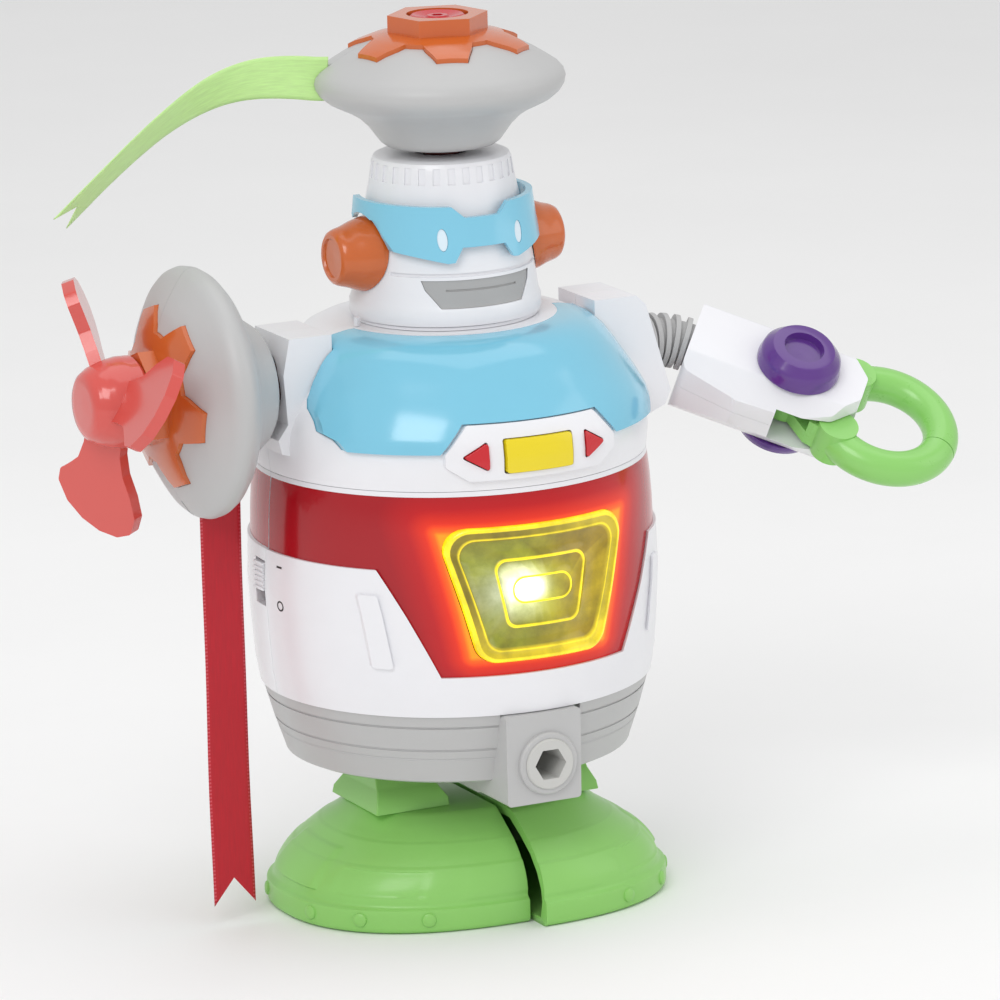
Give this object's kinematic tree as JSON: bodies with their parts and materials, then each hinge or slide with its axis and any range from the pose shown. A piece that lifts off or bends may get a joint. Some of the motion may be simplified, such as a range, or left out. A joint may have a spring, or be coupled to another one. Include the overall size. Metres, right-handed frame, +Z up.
{
  "type": "toy robot",
  "caption": "Buildable preschool toy robot: two-tone body, lit chest lamp, shuffling feet, turning head, claw arm, spinning discs with ribbons and a side propeller.",
  "frame": {"origin": "on the floor under the middle of the body, on the axis of the head and of the spinning disc on top", "axes": "+X to the side of the claw arm, -Y the face and chest lamp, +Z up"},
  "size_m": [0.2717, 0.1246, 0.2683],
  "materials": {
    "white_shell": "satin gloss",
    "grey_plastic": "satin",
    "grey_socket": "satin",
    "bellows_grey": "dull, soft",
    "grey_inner": "dull",
    "dark_inner": "dull",
    "blue_gloss": "glossy",
    "red_band": "glossy, slightly clear",
    "red_button": "glossy",
    "yellow_button": "glossy",
    "coral": "glossy",
    "orange": "glossy",
    "purple": "glossy",
    "green": "satin",
    "dark_red": "satin",
    "green_ribbon": "thin satin",
    "red_ribbon": "satin with fine picot edges",
    "lamp_clear": "translucent yellow",
    "lamp_metal": "metallised",
    "led": "clear",
    "eye_white": "glossy",
    "board": "satin",
    "steel": "bright zinc",
    "motor_can": "plated",
    "cells": "printed sleeve",
    "nylon": "natural",
    "speaker_black": "matt"
  },
  "bodies": {
    "body": {"hull": "grey_plastic", "hub_block": "grey_plastic", "mid_shell_front": "white_shell", "mid_shell_back": "white_shell", "red_panel": "red_band", "lamp_lens": "lamp_clear", "lamp_reflector": "lamp_metal", "lamp_led": "led", "chest_shell_front": "white_shell", "chest_shell_back": "white_shell", "chest_panel": "blue_gloss", "button_bezel": "white_shell", "button_board": "board", "power_switch": "dark_inner", "battery_box": "dark_inner", "batteries": "cells", "battery_door": "white_shell", "door_screw": "steel", "drive_frame": "grey_inner", "drive_motor": "motor_can", "speaker": "speaker_black", "neck_collar": "white_shell", "neck_bearing": "grey_inner", "shell_screws": "steel"},
    "drive": {"top_shaft": "dark_red", "top_disc_a": "grey_plastic", "top_disc_b": "grey_plastic", "top_gear_plate": "orange", "top_ribbon": "green_ribbon"},
    "side_spinner": {"side_shaft": "dark_red", "side_disc_a": "grey_plastic", "side_disc_b": "grey_plastic", "side_gear_plate": "orange", "side_ribbon": "red_ribbon", "propeller": "coral"},
    "socket": {"drive_socket": "grey_socket"},
    "pinion": {"motor_pinion": "nylon"},
    "crank": {"crankshaft": "grey_inner"},
    "leg_l": {"leg_left": "green", "foot_left": "green"},
    "leg_r": {"leg_right": "green", "foot_right": "green"},
    "head": {"head_shell": "white_shell", "visor": "blue_gloss", "pupils": "eye_white", "ear_left": "orange", "ear_right": "orange", "mouth_panel": "grey_plastic"},
    "arm": {"arm_socket": "grey_plastic", "arm_bellows": "bellows_grey", "forearm_upper": "white_shell", "forearm_lower": "white_shell", "arm_caps": "purple", "claw_pin": "dark_red"},
    "jaw_a": {"claw_jaw_a": "green"},
    "jaw_b": {"claw_jaw_b": "green"},
    "btn_mid": {"button_middle": "yellow_button"},
    "btn_left": {"button_left": "red_button"},
    "btn_right": {"button_right": "red_button"},
    "knob": {"power_knob": "white_shell"}
  },
  "joints": [
    {"name": "drive_spin", "type": "hinge", "parent": "body", "child": "drive", "pos_m": [0, 0, 0.1], "axis": [0, 0, 1], "continuous": true},
    {"name": "side_spin", "type": "hinge", "parent": "body", "child": "side_spinner", "pos_m": [-0.0832, 0, 0.1635], "axis": [-1, 0, 0], "continuous": true},
    {"name": "socket_spin", "type": "hinge", "parent": "body", "child": "socket", "pos_m": [0, -0.0605, 0.053], "axis": [0, -1, 0], "continuous": true},
    {"name": "motor_spin", "type": "hinge", "parent": "body", "child": "pinion", "pos_m": [0, 0.0134, 0.13], "axis": [0, 0, 1], "continuous": true},
    {"name": "crank_spin", "type": "hinge", "parent": "body", "child": "crank", "pos_m": [0, -0.0035, 0.06], "axis": [1, 0, 0], "continuous": true},
    {"name": "leg_left_ride", "type": "hinge", "parent": "crank", "child": "leg_l", "pos_m": [-0.024, 0.0002, 0.06], "axis": [1, 0, 0], "continuous": true},
    {"name": "leg_right_ride", "type": "hinge", "parent": "crank", "child": "leg_r", "pos_m": [0.024, -0.0072, 0.06], "axis": [1, 0, 0], "continuous": true},
    {"name": "head_turn", "type": "hinge", "parent": "body", "child": "head", "pos_m": [0, 0, 0.18], "axis": [0, 0, 1], "range_deg": [-45, 45]},
    {"name": "arm_turn", "type": "hinge", "parent": "body", "child": "arm", "pos_m": [0.067, 0, 0.1615], "axis": [1, 0, 0], "range_deg": [-60, 60]},
    {"name": "jaw_a_open", "type": "hinge", "parent": "arm", "child": "jaw_a", "pos_m": [0.10571, -0.01811, 0.14422], "axis": [0, -0.5693, 0.8221], "range_deg": [0, 30]},
    {"name": "jaw_b_open", "type": "hinge", "parent": "arm", "child": "jaw_b", "pos_m": [0.10571, -0.01811, 0.14422], "axis": [0, -0.5693, 0.8221], "range_deg": [-30, 0]},
    {"name": "press_middle", "type": "slide", "parent": "body", "child": "btn_mid", "axis": [0, 1, 0], "range_m": [0, 0.0012], "stiffness_N_per_m": 800, "springref_m": -0.0012},
    {"name": "press_left", "type": "slide", "parent": "body", "child": "btn_left", "axis": [0, 1, 0], "range_m": [0, 0.0012], "stiffness_N_per_m": 600, "springref_m": -0.0012},
    {"name": "press_right", "type": "slide", "parent": "body", "child": "btn_right", "axis": [0, 1, 0], "range_m": [0, 0.0012], "stiffness_N_per_m": 600, "springref_m": -0.0012},
    {"name": "switch_slide", "type": "slide", "parent": "body", "child": "knob", "axis": [0, 0, 1], "range_m": [-0.0037, 0]}
  ],
  "couplings": [
    {"joint": "side_spin", "follows": "drive_spin", "ratio": 1},
    {"joint": "socket_spin", "follows": "drive_spin", "ratio": 1},
    {"joint": "motor_spin", "follows": "drive_spin", "ratio": -1.5556},
    {"joint": "crank_spin", "follows": "drive_spin", "ratio": 0.75},
    {"joint": "leg_left_ride", "follows": "drive_spin", "ratio": -0.75},
    {"joint": "leg_right_ride", "follows": "drive_spin", "ratio": -0.75},
    {"joint": "jaw_b_open", "follows": "jaw_a_open", "ratio": -1}
  ]
}
